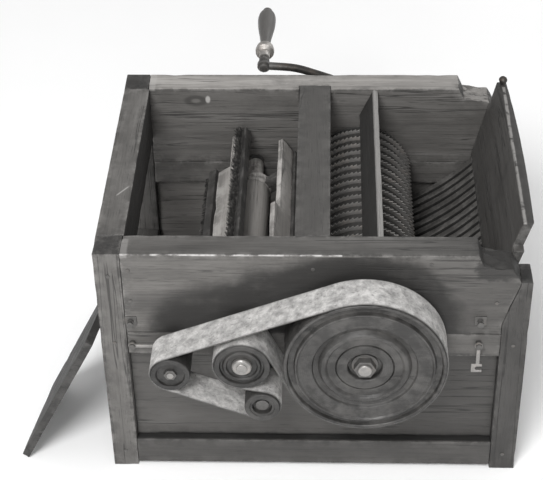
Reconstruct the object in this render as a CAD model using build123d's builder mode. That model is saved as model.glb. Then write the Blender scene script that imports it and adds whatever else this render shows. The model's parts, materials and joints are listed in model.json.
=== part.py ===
from build123d import *
import math
import os

# A bench cotton gin turned by hand. A wooden cabinet carries a toothed drum and a four-armed brush
# reel on cross shafts. One flat belt on the front ties their pulleys to two guide pulleys on studs,
# and the crank is behind. Millimetres, +Z up, +X to the hopper end, -Y to the pulley side. The origin
# is on the floor below the middle of everything, so the cabinet stands a little off it.

# ---- where the cabinet's centre stands ----
cabinet_x = 65.7
cabinet_y = -71.0

# ---- cabinet ----
cabinet_width = 560.0
cabinet_depth = 434.0
rim_height = 376.0
seam_height = 247.0
wall = 41.0
post_width = 35.0
foot_gap = 7.0
bottom_rail_top = 50.0
bottom_rail_depth = 36.0
bearing_rail_bottom = 209.0
panel_thickness = 16.0
panel_setback = 12.0
left_board_thickness = 37.0
left_board_bottom = 290.0
outlet_sill = 120.0
right_post_top = 333.0
splay_start = 264.0
splay = 16.5

half_width = cabinet_width / 2
half_depth = cabinet_depth / 2
inner_half_depth = half_depth - wall
inner_half_width = half_width - post_width
splay_run = math.tan(math.radians(splay))

# ---- shafts and pulleys: (x, height) from the cabinet's centre ----
drum_axis = (66.9, seam_height)
brush_axis = (-90.2, seam_height)
left_axis = (-182.6, 232.0)
idler_axis = (-65.5, 179.5)
drum_shaft_radius = 9.0
brush_shaft_radius = 7.0
stud_radius = 6.0
running_clearance = 0.05
wheel_radius = 104.2
brush_pulley_radius = 36.0
left_pulley_radius = 25.6
idler_radius = 23.0
pulley_back = half_depth + 16.0
pulley_face = half_depth + 69.0
belt_width = 51.0
belt_thickness = 1.8
belt_gap = 0.3

# ---- drum and brush ----
barrel_radius = 68.0
tooth_radius = 75.0
drum_half_length = 165.0
saw_pitch = 18.0
saw_count = 18
saw_thickness = 1.6
teeth_per_saw = 72
reel_half_length = 166.0
reel_angles = (32.0, 122.0, 212.0, 302.0)
slat_inner = 54.0
slat_thickness = 8.0
slat_width = 29.0
slat_offset = 6.0
bristle_tip = 77.5

# ---- crank ----
crank_plane = half_depth + 50.0
crank_rod_radius = 6.0
crank_pin_axis = (-79.0, 361.0)
crank_pin_radius = 5.0

# ---- hooks ----
hook_reach = 38.0
hook_pin_radius = 2.2
hook_stand_off = 5.0
hook_thickness = 3.0

os.makedirs("parts", exist_ok=True)


def save(piece, label):
    piece.part.label = label
    export_step(piece.part, f"parts/{label}.step")


def level(z):
    """A level plane at height z: x to the hopper end, y to the back."""
    return Plane(origin=(cabinet_x, cabinet_y, z))


def facing_front(y):
    """An upright plane across the cabinet, x to the hopper end and y up; extrude goes to the front."""
    return Plane(origin=(cabinet_x, cabinet_y + y, 0), x_dir=(1, 0, 0), z_dir=(0, -1, 0))


def lathe(axis):
    """The plane of a turned profile: x is the radius and y the place from front to back."""
    return Plane(origin=(cabinet_x + axis[0], cabinet_y, axis[1]))


def spin(axis):
    """The line that a turned piece turns about."""
    return Axis((cabinet_x + axis[0], cabinet_y, axis[1]), (0, 1, 0))


def block(x_from, x_to, y_from, y_to, z_from, z_to):
    """A squared timber between six faces, added to the part that is being built."""
    with BuildSketch(level(z_from)) as profile:
        with Locations(((x_from + x_to) / 2, (y_from + y_to) / 2)):
            Rectangle(x_to - x_from, y_to - y_from)
    extrude(profile.sketch, amount=z_to - z_from)


def turned(axis, outline):
    """A solid turned about a shaft's axis from a closed outline of (radius, y) points."""
    with BuildSketch(lathe(axis)) as profile:
        with BuildLine():
            Polyline(*outline, close=True)
        make_face()
    revolve(profile.sketch, axis=spin(axis))


def tube(axis, inner, outer, y_from, y_to):
    """A plain ring or collar round a shaft."""
    turned(axis, [(inner, y_from), (outer, y_from), (outer, y_to), (inner, y_to)])


def rod(axis, radius, y_from, y_to):
    """A plain round bar along a shaft's axis."""
    with BuildSketch(facing_front(y_to)) as profile:
        with Locations(axis):
            Circle(radius)
    extrude(profile.sketch, amount=y_to - y_from)


def nut(axis, bore, across_flats, y_from, y_to, sides=6):
    """A nut round a shaft; four sides make it a square one."""
    with BuildSketch(facing_front(y_to)) as profile:
        with Locations(axis):
            RegularPolygon(across_flats / 2, sides, major_radius=False)
            Circle(bore, mode=Mode.SUBTRACT)
    extrude(profile.sketch, amount=y_to - y_from)


# ---- lower frame: posts, rails and panels ----
corners = {"front": -1, "back": 1}

for name, side in corners.items():
    with BuildPart() as left_post:
        y_pair = sorted((side * inner_half_depth, side * half_depth))
        block(-half_width, -inner_half_width, *y_pair, 0, rim_height)
        chamfer(left_post.edges().filter_by(Axis.Z), 1)
    save(left_post, f"post_{name}_left")

    # The right posts stop short, and their inner corners are cut away for the splayed upper boards.
    with BuildPart() as right_post:
        with BuildSketch(facing_front(max(side * inner_half_depth, side * half_depth))):
            with BuildLine():
                Polyline(
                    (inner_half_width, 0),
                    (half_width, 0),
                    (half_width, right_post_top),
                    (inner_half_width + (right_post_top - splay_start) * splay_run, right_post_top),
                    (inner_half_width, splay_start),
                    close=True,
                )
            make_face()
        extrude(amount=wall)
    save(right_post, f"post_{name}_right")

    with BuildPart() as bottom_rail:
        y_pair = sorted((side * (half_depth - bottom_rail_depth), side * half_depth))
        block(-inner_half_width, inner_half_width, *y_pair, foot_gap, bottom_rail_top)
    save(bottom_rail, f"bottom_rail_{name}")

    with BuildPart() as panel:
        outer = half_depth - panel_setback
        y_pair = sorted((side * (outer - panel_thickness), side * outer))
        block(-inner_half_width, inner_half_width, *y_pair, bottom_rail_top, bearing_rail_bottom)
    save(panel, f"lower_panel_{name}")

side_rails = {"left": (-1, outlet_sill), "right": (1, bottom_rail_top)}
for name, (side, rail_top) in side_rails.items():
    with BuildPart() as side_rail:
        x_pair = sorted((side * inner_half_width, side * half_width))
        block(*x_pair, -inner_half_depth, inner_half_depth, foot_gap, rail_top)
    save(side_rail, f"bottom_rail_{name}")

right_rail_bottom = 215.0
right_rail_top = 262.0
side_panel_thickness = 14.0
side_panel_outer = half_width - 8.0

with BuildPart() as right_panel:
    block(
        side_panel_outer - side_panel_thickness, side_panel_outer,
        -inner_half_depth, inner_half_depth, bottom_rail_top, right_rail_bottom,
    )
save(right_panel, "lower_panel_right")

with BuildPart() as right_rail:
    block(
        inner_half_width, half_width,
        -inner_half_depth, inner_half_depth, right_rail_bottom, right_rail_top,
    )
save(right_rail, "top_rail_right")

with BuildPart() as left_board:
    block(
        -half_width, left_board_thickness - half_width,
        -inner_half_depth, inner_half_depth, left_board_bottom, rim_height,
    )
save(left_board, "top_board_left")

floor_thickness = 12.0
floor_right = 80.0
with BuildPart() as floor_board:
    panel_inner = half_depth - panel_setback - panel_thickness
    block(
        -inner_half_width, floor_right, -panel_inner, panel_inner,
        bottom_rail_top, bottom_rail_top + floor_thickness,
    )
save(floor_board, "floor_board")

# ---- bearings: the seam between rail and upper board runs through the drum and brush shafts ----
drum_bush_radius = 15.0
brush_bush_radius = 12.0
seat_relief = 0.3

for name, side in corners.items():
    y_pair = sorted((side * inner_half_depth, side * half_depth))
    with BuildPart() as bearing_rail:
        block(-inner_half_width, inner_half_width, *y_pair, bearing_rail_bottom, seam_height)
        with BuildSketch(facing_front(y_pair[1])):
            with Locations(drum_axis):
                Circle(drum_bush_radius)
            with Locations(brush_axis):
                Circle(brush_bush_radius)
            if name == "front":
                with Locations(left_axis):
                    Circle(stud_radius)
        extrude(amount=wall, mode=Mode.SUBTRACT)
    save(bearing_rail, f"bearing_rail_{name}")

with BuildPart() as bushes:
    for side in corners.values():
        y_pair = sorted((side * inner_half_depth, side * half_depth))
        tube(drum_axis, drum_shaft_radius + running_clearance, drum_bush_radius, *y_pair)
        tube(brush_axis, brush_shaft_radius + running_clearance, brush_bush_radius, *y_pair)
save(bushes, "shaft_bushes")

# ---- upper section: lifts off as one piece once its hooks are free ----
notch_left = 209.0
notch_floor = 360.0
notch_right_drop = 355.0
broken_corner_x = 253.0
cross_left = -24.0
cross_right = 22.0
cross_thickness = 20.0
cross_housing = 10.0

for name, side in corners.items():
    y_pair = sorted((side * inner_half_depth, side * half_depth))
    with BuildPart() as upper_board:
        with BuildSketch(facing_front(y_pair[1])):
            with BuildLine():
                Polyline(
                    (-inner_half_width, seam_height),
                    (inner_half_width, seam_height),
                    (inner_half_width, splay_start),
                    (inner_half_width + (right_post_top - splay_start) * splay_run, right_post_top),
                    (broken_corner_x, notch_right_drop),
                    (notch_left + 7, notch_floor),
                    (notch_left, rim_height),
                    (-inner_half_width, rim_height),
                    close=True,
                )
            make_face()
            with Locations(drum_axis):
                Circle(drum_bush_radius + seat_relief, mode=Mode.SUBTRACT)
            with Locations(brush_axis):
                Circle(brush_bush_radius + seat_relief, mode=Mode.SUBTRACT)
        extrude(amount=wall)
        if name == "back":
            with BuildSketch(level(rim_height)):
                with Locations(((cross_left + cross_right) / 2, inner_half_depth + cross_housing / 2)):
                    Rectangle(cross_right - cross_left, cross_housing)
            extrude(amount=-cross_thickness, mode=Mode.SUBTRACT)
    save(upper_board, f"upper_board_{name}")

with BuildPart() as cross_board:
    block(
        cross_left, cross_right, -inner_half_depth, inner_half_depth + cross_housing,
        rim_height - cross_thickness, rim_height,
    )
save(cross_board, "cross_board")

# The partition leans over the drum, from the rim down to the left.
partition_top_x = 87.5
partition_thickness = 7.0
partition_lean = 25.0
partition_height = 48.0
with BuildPart() as partition:
    with BuildSketch(facing_front(inner_half_depth)):
        with Locations(Location((partition_top_x, rim_height - 1.5), -partition_lean)):
            Rectangle(partition_thickness, partition_height, align=(Align.CENTER, Align.MAX))
    extrude(amount=2 * inner_half_depth)
save(partition, "partition_board")

# The hopper's end board leans outward, with its outer face on the line of the splayed corner.
end_board_thickness = 13.0
end_board_bottom = 266.0
end_board_top = 388.0
end_board_front = -162.0
end_board_back = 172.0
end_board_skin = end_board_thickness / math.cos(math.radians(splay))


def splay_x(z):
    """Where the outer face of the end board stands at height z."""
    return inner_half_width + (z - splay_start) * splay_run


def end_board_slab(y_from, y_to, z_from, z_to):
    """A length of the leaning end board between two heights."""
    with BuildSketch(facing_front(y_to)) as profile:
        with BuildLine():
            Polyline(
                (splay_x(z_from) - end_board_skin, z_from),
                (splay_x(z_from), z_from),
                (splay_x(z_to), z_to),
                (splay_x(z_to) - end_board_skin, z_to),
                close=True,
            )
        make_face()
    extrude(profile.sketch, amount=y_to - y_from)


# Below its shoulders the board reaches the upper boards, which hold it.
shoulder_height = 352.0
with BuildPart() as end_board:
    end_board_slab(-inner_half_depth, inner_half_depth, end_board_bottom, shoulder_height)
    end_board_slab(end_board_front, end_board_back, shoulder_height, end_board_top)
save(end_board, "hopper_end_board")

peg_radius = 6.0
peg_height = 15.0
peg_x = splay_x(end_board_top) - end_board_skin / 2
peg_foot = (cabinet_x + peg_x, cabinet_y + end_board_back - 10, end_board_top)
peg_plane = Plane(origin=peg_foot, x_dir=(1, 0, 0), z_dir=(0, -1, 0))
with BuildPart() as end_peg:
    with BuildSketch(peg_plane):
        with BuildLine():
            Polyline((0, 0), (peg_radius - 2, 0), (peg_radius - 2, 4), (peg_radius, peg_height - peg_radius))
            CenterArc((0, peg_height - peg_radius), peg_radius, 0, 90)
            Line((0, peg_height), (0, 0))
        make_face()
    revolve(axis=Axis(peg_foot, (0, 0, 1)))
save(end_peg, "end_board_peg")

# ---- grate: curved ribs from under the drum up to the hopper's end ----
rib_start = (100.0, 166.0)
rib_middle = (160.0, 196.0)
rib_end = (237.0, 261.0)
rib_depth = 8.0
rib_width = 11.5
rib_count = saw_count + 1

with BuildPart() as ribs:
    for index in range(rib_count):
        rib_y = (index - (rib_count - 1) / 2) * saw_pitch
        with BuildSketch(facing_front(rib_y + rib_width / 2)):
            with BuildLine():
                ThreePointArc(rib_start, rib_middle, rib_end)
            trace(line_width=rib_depth)
        extrude(amount=rib_width)
save(ribs, "grate_ribs")

with BuildPart() as foot_rail:
    block(88, 112, -panel_inner, panel_inner, 144, 168)
    add(ribs.part, mode=Mode.SUBTRACT)
save(foot_rail, "grate_foot_rail")

with BuildPart() as head_rail:
    block(
        splay_x(end_board_bottom) - end_board_skin, inner_half_width,
        -inner_half_depth, inner_half_depth, 240, end_board_bottom,
    )
    add(ribs.part, mode=Mode.SUBTRACT)
save(head_rail, "grate_head_rail")

# ---- drum: wooden barrel, toothed rows, shaft and collars ----
shaft_front = -half_depth - 74.0
shaft_back = half_depth + 74.0

end_plate_thickness = 2.0
drum_end = drum_half_length + end_plate_thickness
with BuildPart() as drum_shaft:
    rod(drum_axis, drum_shaft_radius, shaft_front, shaft_back)
    chamfer(drum_shaft.edges().filter_by(GeomType.CIRCLE), 1.2)
    rod(drum_axis, 17, -inner_half_depth + 0.5, -drum_end)
    rod(drum_axis, 17, drum_end, inner_half_depth - 0.5)
save(drum_shaft, "drum_shaft")

with BuildPart() as barrel:
    tube(drum_axis, drum_shaft_radius, barrel_radius, -drum_half_length, drum_half_length)
save(barrel, "drum_barrel")

with BuildPart() as end_plates:
    tube(drum_axis, drum_shaft_radius, barrel_radius + 2, -drum_end, -drum_half_length)
    tube(drum_axis, drum_shaft_radius, barrel_radius + 2, drum_half_length, drum_end)
save(end_plates, "drum_end_plates")


def tooth_points(centre, count, root, tip):
    """The outline of a ring of ratchet teeth that all lean one way."""
    points = []
    for index in range(count):
        for radius, place in ((root, index), (tip, index + 0.15)):
            angle = 2 * math.pi * place / count
            points.append((centre[0] + radius * math.cos(angle), centre[1] + radius * math.sin(angle)))
    return points


with BuildPart() as saws:
    for index in range(saw_count):
        saw_y = (index - (saw_count - 1) / 2) * saw_pitch + saw_thickness / 2
        with BuildSketch(facing_front(saw_y)):
            with BuildLine():
                Polyline(
                    *tooth_points(drum_axis, teeth_per_saw, barrel_radius + 4, tooth_radius),
                    close=True,
                )
            make_face()
            with Locations(drum_axis):
                Circle(barrel_radius, mode=Mode.SUBTRACT)
        extrude(amount=saw_thickness)
save(saws, "drum_saws")

# ---- big wheel: a turned wooden disc with raised and sunk rings on its face ----
face = -pulley_face
back = -pulley_back
with BuildPart() as big_wheel:
    turned(
        drum_axis,
        [
            (drum_shaft_radius, back), (wheel_radius - 1.5, back), (wheel_radius, back - 1.5),
            (wheel_radius, face + 1), (wheel_radius - 1, face), (100.5, face), (99.5, face + 1),
            (98.5, face + 5), (91, face + 5), (89.5, face - 1), (87.5, face - 1.5), (86, face + 1),
            (68, face + 1), (66.5, face + 4), (60, face + 6), (58, face + 2), (55.5, face - 0.5),
            (53, face - 1), (50.5, face - 0.5), (48, face + 3), (38, face + 3), (37.5, face + 5.5),
            (36.5, face + 5.5), (36, face + 2.5), (23.5, face + 2.5), (22, face + 4), (21.5, face + 10),
            (drum_shaft_radius, face + 10),
        ],
    )
save(big_wheel, "big_wheel")

with BuildPart() as wheel_nut:
    tube(drum_axis, drum_shaft_radius, 17, face + 8, face + 10)
    nut(drum_axis, drum_shaft_radius, 25, face - 2, face + 8)
save(wheel_nut, "wheel_nut")

# ---- brush reel ----
with BuildPart() as brush_arms:
    for arm_y in (-105, 105):
        with BuildSketch(facing_front(arm_y + 6)):
            for angle in reel_angles:
                with Locations(Location((brush_axis[0], brush_axis[1]), angle)):
                    with Locations(((9 + slat_inner) / 2, 0)):
                        Rectangle(slat_inner - 9, 12)
        extrude(amount=12)
save(brush_arms, "brush_arms")

with BuildPart() as brush_hub:
    half_outline = [(12.5, 168), (12.5, 126), (20, 120), (25.5, 115), (25.5, 102), (22.5, 98), (23.5, 80)]
    mirrored = [(radius, -y) for radius, y in reversed(half_outline)]
    bore_line = [(brush_shaft_radius, -168), (brush_shaft_radius, 168)]
    turned(brush_axis, half_outline + mirrored + bore_line)
    add(brush_arms.part, mode=Mode.SUBTRACT)
save(brush_hub, "brush_hub")

stock_width = 19.0
stock_inner = 53.0
stock_outer = 66.0
tuft_width = 9.0
tuft_length = 8.0
tuft_pitch = 11.5
tuft_count = 28

bristle_root = 1.5
reel_arms = [
    Plane(
        origin=(cabinet_x + brush_axis[0], cabinet_y, brush_axis[1]),
        x_dir=(math.cos(math.radians(angle)), 0, math.sin(math.radians(angle))),
        z_dir=(0, -1, 0),
    )
    for angle in reel_angles
]
stock_offset = slat_offset - (slat_width + stock_width) / 2

# One slat is notched at its back corner, and its neighbour has a batten along its front half.
notch_arm = reel_arms[1]
notch_width = 20.0
notch_length = 77.0
batten_arm = reel_arms[0]
batten_width = 12.0
batten_length = 160.0
slat_middle = slat_inner + slat_thickness / 2
slat_edge = slat_offset + slat_width / 2
with BuildPart() as slats:
    for arm in reel_arms:
        with BuildSketch(arm.offset(-reel_half_length)):
            with Locations((slat_middle, slat_offset)):
                Rectangle(slat_thickness, slat_width)
        extrude(amount=2 * reel_half_length)
    with BuildSketch(notch_arm.offset(-reel_half_length)):
        with Locations((slat_middle, slat_edge - notch_width / 2)):
            Rectangle(slat_thickness, notch_width)
    extrude(amount=notch_length, mode=Mode.SUBTRACT)
    with BuildSketch(batten_arm.offset(reel_half_length)):
        with Locations((slat_middle, slat_edge + batten_width / 2)):
            Rectangle(slat_thickness, batten_width)
    extrude(amount=-batten_length)
save(slats, "brush_slats")

with BuildPart() as stocks:
    for arm in reel_arms:
        with BuildSketch(arm.offset(-reel_half_length)):
            with Locations(((stock_inner + stock_outer) / 2, stock_offset)):
                Rectangle(stock_outer - stock_inner, stock_width)
        extrude(amount=2 * reel_half_length)
save(stocks, "brush_stocks")

# The tufts of each row stand on one thin root strip, so each row is a single comb.
with BuildPart() as bristles:
    for arm in reel_arms:
        with BuildSketch(arm.offset(-reel_half_length + 2)):
            with Locations((stock_outer + bristle_root / 2, stock_offset)):
                Rectangle(bristle_root, tuft_width)
        extrude(amount=2 * reel_half_length - 4)
        for tuft in range(tuft_count):
            tuft_y = (tuft - (tuft_count - 1) / 2) * tuft_pitch
            with BuildSketch(arm.offset(tuft_y - tuft_length / 2)):
                with Locations(((stock_outer + bristle_tip) / 2, stock_offset)):
                    Rectangle(bristle_tip - stock_outer, tuft_width)
            extrude(amount=tuft_length)
save(bristles, "brush_bristles")

brush_face = -half_depth - 68.0
brush_shaft_front = brush_face - 3.0
with BuildPart() as brush_shaft:
    rod(brush_axis, brush_shaft_radius, brush_shaft_front, half_depth + 10)
    chamfer(brush_shaft.edges().filter_by(GeomType.CIRCLE), 1)
    rod(brush_axis, 12, half_depth + 0.5, half_depth + 6.5)
save(brush_shaft, "brush_shaft")

with BuildPart() as brush_pulley:
    turned(
        brush_axis,
        [
            (brush_shaft_radius, back), (brush_pulley_radius, back), (brush_pulley_radius, brush_face + 1),
            (brush_pulley_radius - 1, brush_face), (29, brush_face), (28, brush_face + 4),
            (25, brush_face + 4), (23.5, brush_face + 1), (20.5, brush_face + 1), (19, brush_face + 4),
            (brush_shaft_radius, brush_face + 4),
        ],
    )
save(brush_pulley, "brush_pulley")

with BuildPart() as brush_nut:
    turned(
        brush_axis,
        [
            (brush_shaft_radius, brush_face + 4), (12.8, brush_face + 4), (12.8, brush_face),
            (11, brush_face - 2), (brush_shaft_radius, brush_face - 2),
        ],
    )
save(brush_nut, "brush_nut")

# ---- left pulley: it turns on a stud that stands in the front rail ----
stud_neck_radius = 4.5
left_hub_face = brush_face + 3.5
with BuildPart() as left_stud:
    rod(left_axis, stud_radius, left_hub_face - 0.3, -inner_half_depth)
    rod(left_axis, 8.5, back + 0.3, -half_depth)
    rod(left_axis, stud_neck_radius, brush_face - 1, left_hub_face - 0.3)
save(left_stud, "left_stud")

stud_bore = stud_radius + running_clearance
with BuildPart() as left_pulley:
    turned(
        left_axis,
        [
            (stud_bore, back), (left_pulley_radius, back), (left_pulley_radius, brush_face + 1),
            (left_pulley_radius - 1, brush_face), (19, brush_face), (18, left_hub_face),
            (stud_bore, left_hub_face),
        ],
    )
save(left_pulley, "left_pulley")

with BuildPart() as left_nut:
    nut(left_axis, stud_neck_radius, 14.5, brush_face, left_hub_face - 0.3)
save(left_nut, "left_nut")

# ---- idler on a stud, which takes up the belt's slack ----
panel_face = -(half_depth - panel_setback)
bracket_thickness = 8.0
idler_face = -half_depth - 71.0
idler_recess = 8.0
with BuildPart() as idler_bracket:
    with BuildSketch(facing_front(panel_face)):
        with Locations(idler_axis):
            Rectangle(46, 56)
    extrude(amount=bracket_thickness)
    chamfer(idler_bracket.edges().filter_by(Axis.Y), 5)
    rod(idler_axis, 12, back + 0.3, panel_face - bracket_thickness)
    rod(idler_axis, stud_radius, idler_face + idler_recess - 0.3, back + 0.3)
    rod(idler_axis, 8.5, idler_face + idler_recess - 3, idler_face + idler_recess - 0.3)
save(idler_bracket, "idler_bracket")

with BuildPart() as idler:
    turned(
        idler_axis,
        [
            (stud_bore, back), (idler_radius, back), (idler_radius, idler_face + 1),
            (idler_radius - 1, idler_face), (16.5, idler_face), (15.5, idler_face + 2),
            (13, idler_face + 2), (12, idler_face + idler_recess), (stud_bore, idler_face + idler_recess),
        ],
    )
save(idler, "idler_pulley")

# ---- belt: one closed loop, round the outside of three pulleys and back over the brush pulley ----
mid_gap = belt_gap + belt_thickness / 2
wraps = [
    (drum_axis, wheel_radius + mid_gap, 1),
    (left_axis, left_pulley_radius + mid_gap, 1),
    (idler_axis, idler_radius + mid_gap, 1),
    (brush_axis, brush_pulley_radius + mid_gap, -1),
]


def tangent_angles(first, second):
    """The angles, at two pulleys, of the points where the belt leaves the first for the second."""
    (x1, z1), r1, turn1 = first
    (x2, z2), r2, turn2 = second
    distance = math.hypot(x2 - x1, z2 - z1)
    centre_line = math.degrees(math.atan2(z2 - z1, x2 - x1))
    lean = math.degrees(math.asin((turn1 * r1 - turn2 * r2) / distance))
    heading = centre_line + lean
    return heading - 90 * turn1, heading - 90 * turn2


def belt_edge(shift):
    """One edge of the belt: its middle line moved sideways, to the outside of the loop if positive."""
    leave = [tangent_angles(wraps[i], wraps[(i + 1) % 4])[0] for i in range(4)]
    arrive = [tangent_angles(wraps[i - 1], wraps[i])[1] for i in range(4)]
    ends = []
    for (centre, radius, turn), start, stop in zip(wraps, arrive, leave):
        size = (stop - start) % 360 if turn > 0 else -((start - stop) % 360)
        arc = CenterArc(centre, radius + turn * shift, start, size)
        ends.append((arc @ 0, arc @ 1))
    for i in range(4):
        Line(ends[i][1], ends[(i + 1) % 4][0])


with BuildPart() as belt:
    with BuildSketch(facing_front(back - 1)):
        with BuildLine():
            belt_edge(belt_thickness / 2)
        make_face()
        with BuildLine():
            belt_edge(-belt_thickness / 2)
        make_face(mode=Mode.SUBTRACT)
    extrude(amount=belt_width)
save(belt, "belt")

# ---- crank on the back end of the drum shaft ----
crank_boss_radius = 15.0
crank_boss_half = 12.0
knuckle = [(0, -10), (6, -9), (10, -3), (10, 3), (8, 7), (8, 14), (0, 14)]
with BuildPart() as crank_arm:
    rod(drum_axis, crank_boss_radius, crank_plane - crank_boss_half, crank_plane + crank_boss_half)
    turned(crank_pin_axis, [(radius, crank_plane + y) for radius, y in knuckle])
    with BuildLine(facing_front(crank_plane)) as crank_line:
        FilletPolyline(drum_axis, (40, 332), (-30, 357.5), crank_pin_axis, radius=(45, 120))
    crank_path = crank_line.wires()[0]
    with BuildSketch(Plane(origin=crank_path @ 0, z_dir=crank_path % 0)):
        Circle(crank_rod_radius)
    sweep(path=crank_path)
    with BuildSketch(facing_front(crank_plane + 2 * crank_boss_half)):
        with Locations(drum_axis):
            Circle(drum_shaft_radius)
        with Locations(crank_pin_axis):
            Circle(crank_pin_radius)
    extrude(amount=4 * crank_boss_half, mode=Mode.SUBTRACT)
save(crank_arm, "crank_arm")

with BuildPart() as crank_nut:
    nut(drum_axis, drum_shaft_radius, 26, crank_plane + 12, crank_plane + 21)
save(crank_nut, "crank_nut")

grip_start = crank_plane + 22.0
ferrule_end = crank_plane + 52.0
grip_end = crank_plane + 162.0
with BuildPart() as crank_pin:
    rod(crank_pin_axis, crank_pin_radius, crank_plane - 10, grip_end + 4)
    rod(crank_pin_axis, 7.5, grip_end + 0.5, grip_end + 4)
save(crank_pin, "crank_pin")

grip_bore = crank_pin_radius + running_clearance
with BuildPart() as ferrule:
    turned(
        crank_pin_axis,
        [
            (grip_bore, grip_start), (8, grip_start), (8, grip_start + 15), (14, grip_start + 17),
            (14.5, grip_start + 22), (13, ferrule_end), (grip_bore, ferrule_end),
        ],
    )
save(ferrule, "grip_ferrule")

with BuildPart() as grip:
    with BuildSketch(lathe(crank_pin_axis)):
        with BuildLine():
            Line((grip_bore, ferrule_end), (8.5, ferrule_end))
            Spline(
                (8.5, ferrule_end), (7.8, ferrule_end + 12), (11, ferrule_end + 45),
                (14, ferrule_end + 80), (11.5, grip_end - 8), (7.5, grip_end),
            )
            Line((7.5, grip_end), (grip_bore, grip_end))
            Line((grip_bore, grip_end), (grip_bore, ferrule_end))
        make_face()
    revolve(axis=spin(crank_pin_axis))
save(grip, "grip_handle")

# ---- hooks: they swing on pins in the bearing rails and catch pins on the upper boards ----
hook_right_x = 216.5
hook_right_z = 233.0
hook_left_x = -238.0
hook_left_z = 229.0
hook_spots = {
    "front_right": (hook_right_x, hook_right_z, -1, -90),
    "front_left": (hook_left_x, hook_left_z, -1, 0),
    "back_right": (hook_right_x, hook_right_z, 1, -90),
    "back_left": (hook_left_x, hook_left_z, 1, -90),
}
hook_eye_radius = 5.2
hook_head_gap = 0.4


def hook_layer(side, near, far):
    """The front-to-back span of a layer that lies near to far outside a wall."""
    return sorted((side * (half_depth + near), side * (half_depth + far)))


def button(x, z, side):
    """A headed pin: a collar, a shank through the hook's layer and a head."""
    hook_top = hook_stand_off + hook_thickness
    rod((x, z), 4, *hook_layer(side, 0, hook_stand_off - hook_head_gap))
    rod((x, z), hook_pin_radius, *hook_layer(side, 0, hook_top + hook_head_gap))
    rod((x, z), 4.5, *hook_layer(side, hook_top + hook_head_gap, hook_top + 2.5))


with BuildPart() as hook_pins:
    for x, z, side, rest in hook_spots.values():
        button(x, z, side)
save(hook_pins, "hook_pins")

with BuildPart() as catch_pins:
    for x, z, side, rest in hook_spots.values():
        y_pair = hook_layer(side, 0, 1.5)
        block(x - 7, x + 8, *y_pair, z + hook_reach - 7, z + hook_reach + 7)
        button(x, z + hook_reach, side)
save(catch_pins, "catch_plates")

for name, (x, z, side, rest) in hook_spots.items():
    y_pair = hook_layer(side, hook_stand_off, hook_stand_off + hook_thickness)
    with BuildPart() as hook:
        with BuildSketch(facing_front(y_pair[1])):
            with Locations(Location((x, z), rest)):
                Circle(hook_eye_radius)
                with Locations((hook_reach / 2, 0)):
                    Rectangle(hook_reach - 2, 4.6)
                with Locations((hook_reach, -1)):
                    Rectangle(14, 14)
                with Locations((hook_reach, 0)):
                    Circle(hook_pin_radius + 0.8, mode=Mode.SUBTRACT)
                with Locations((hook_reach, 5)):
                    Rectangle(2 * hook_pin_radius + 1.6, 10, mode=Mode.SUBTRACT)
                Circle(hook_pin_radius + running_clearance, mode=Mode.SUBTRACT)
        extrude(amount=hook_thickness)
    save(hook, f"hook_{name}")

# ---- loose delivery board, leaning against the left posts with its foot on the floor ----
board_thickness = 11.0
board_width = 150.0
board_length = 255.0
board_skew = 9.0
board_lean = 26.6
board_foot = (-403.4, -206.0)

lean = math.radians(board_lean)
skew = math.radians(board_skew)
uphill = (
    math.sin(lean) * math.cos(skew),
    -math.sin(lean) * math.sin(skew),
    math.cos(lean),
)
board_plane = Plane(
    origin=(cabinet_x + board_foot[0], cabinet_y + board_foot[1], 0),
    x_dir=(math.sin(skew), math.cos(skew), 0),
    z_dir=uphill,
)
with BuildPart() as delivery_board:
    with BuildSketch(board_plane):
        Rectangle(board_width, board_thickness, align=(Align.MIN, Align.MIN))
    extrude(amount=board_length)
save(delivery_board, "delivery_board")

# ---- nail heads ----
nail_radius = 2.6
nail_height = 0.9


def nail_heads(places, y_face, side):
    """Small round heads that stand on an upright face."""
    for place in places:
        rod(place, nail_radius, *sorted((y_face, y_face + side * nail_height)))


with BuildPart() as upper_nails:
    nail_heads([(-236, 350), (-236, 300), (0, 354), (236, 300), (150, 362)], -half_depth, -1)
    nail_heads([(-236, 350), (-236, 300), (0, 366), (236, 300)], half_depth, 1)
save(upper_nails, "upper_board_nails")

with BuildPart() as frame_nails:
    for side in corners.values():
        y_face = side * half_depth
        nail_heads([(-262, 28), (262, 28), (-262, 228), (262, 228), (-262, 340)], y_face, side)
save(frame_nails, "post_nails")
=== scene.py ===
import json
import math
import random

import bmesh
import bpy
import numpy as np
from mathutils import Matrix, Vector, noise


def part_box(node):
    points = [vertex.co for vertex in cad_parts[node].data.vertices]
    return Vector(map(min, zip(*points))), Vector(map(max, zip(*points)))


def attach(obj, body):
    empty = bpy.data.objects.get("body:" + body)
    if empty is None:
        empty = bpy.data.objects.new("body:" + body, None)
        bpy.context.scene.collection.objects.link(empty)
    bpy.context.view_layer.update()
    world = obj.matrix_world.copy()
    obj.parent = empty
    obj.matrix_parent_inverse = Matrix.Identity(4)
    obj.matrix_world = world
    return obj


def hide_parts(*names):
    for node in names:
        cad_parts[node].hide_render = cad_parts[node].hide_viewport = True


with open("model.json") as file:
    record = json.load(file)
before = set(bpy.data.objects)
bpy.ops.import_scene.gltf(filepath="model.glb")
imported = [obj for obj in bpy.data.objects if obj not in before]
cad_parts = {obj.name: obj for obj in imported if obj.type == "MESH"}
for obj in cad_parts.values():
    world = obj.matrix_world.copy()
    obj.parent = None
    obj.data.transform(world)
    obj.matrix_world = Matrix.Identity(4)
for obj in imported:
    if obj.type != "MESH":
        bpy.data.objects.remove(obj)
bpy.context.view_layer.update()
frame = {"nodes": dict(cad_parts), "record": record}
nodes = frame["nodes"]
node_body = {n: b for b, ns in frame["record"]["behaviour"]["bodies"].items() for n in ns}
scene = bpy.context.scene
draw = random.Random(11)
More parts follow.
